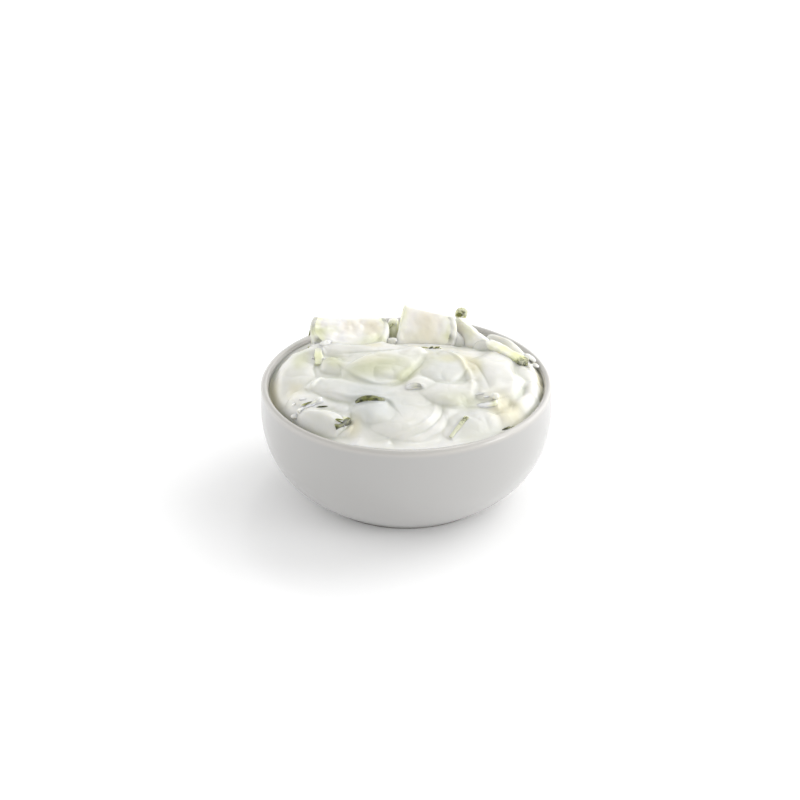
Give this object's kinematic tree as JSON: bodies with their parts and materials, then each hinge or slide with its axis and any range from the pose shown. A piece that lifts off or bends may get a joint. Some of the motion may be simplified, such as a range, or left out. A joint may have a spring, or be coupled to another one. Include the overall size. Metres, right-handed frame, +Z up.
{
  "type": "tzatziki dip in a bowl",
  "caption": "Small round glazed bowl on a low foot ring, heaped with thick white yogurt dip folded round slices of green-skinned cucumber.",
  "frame": {"origin": "centre of the foot ring's underside, on the surface that the bowl stands on", "axes": "+Z up through the middle of the bowl, -Y towards the front of the dish, +X to the right"},
  "size_m": [0.118, 0.118, 0.0632],
  "materials": {
    "bowl": "glossy off-white glaze",
    "yogurt": "wet thick yogurt",
    "cucumber": "wet cucumber flesh with green skin, filmed with yogurt"
  },
  "bodies": {
    "root": {"bowl": "bowl", "yogurt_dip": "yogurt", "half_slice_back_left": "cucumber", "quarter_slice_back_middle": "cucumber", "green_wedge_back": "cucumber", "half_slice_right": "cucumber", "skin_knob_back_right": "cucumber", "rind_strip_right": "cucumber", "quarter_slice_left": "cucumber", "slice_end_front_left": "cucumber", "thin_slice_front_left": "cucumber", "skin_arc_front": "cucumber", "skin_arc_middle": "cucumber", "green_strip_front_right": "cucumber", "slice_end_right": "cucumber"}
  },
  "joints": []
}
